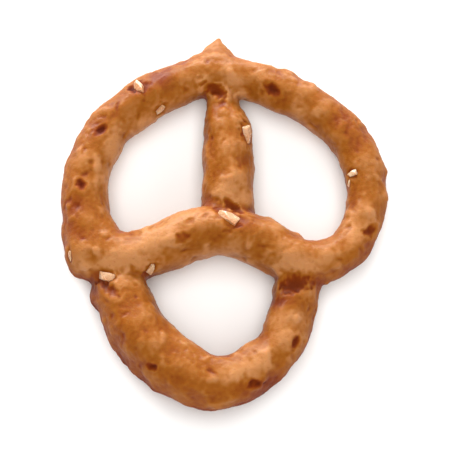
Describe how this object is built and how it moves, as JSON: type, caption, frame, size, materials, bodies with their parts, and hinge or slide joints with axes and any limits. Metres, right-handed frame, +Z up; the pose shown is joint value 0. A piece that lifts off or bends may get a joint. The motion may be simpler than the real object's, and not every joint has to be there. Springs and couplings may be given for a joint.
{
  "type": "small hard pretzel",
  "caption": "Small hard-baked salted pretzel with a knotted rope shape and open holes, lying flat.",
  "frame": {"origin": "on the ground under the middle of the outline", "axes": "+Z up out of the salted side, +Y from the belly to the pinched tip, +X to the right seen from above"},
  "size_m": [0.0384, 0.0452, 0.0069],
  "materials": {
    "crust": "satin baked crust",
    "salt": "frosted crystals"
  },
  "bodies": {
    "root": {"pretzel": "crust"}
  },
  "joints": []
}
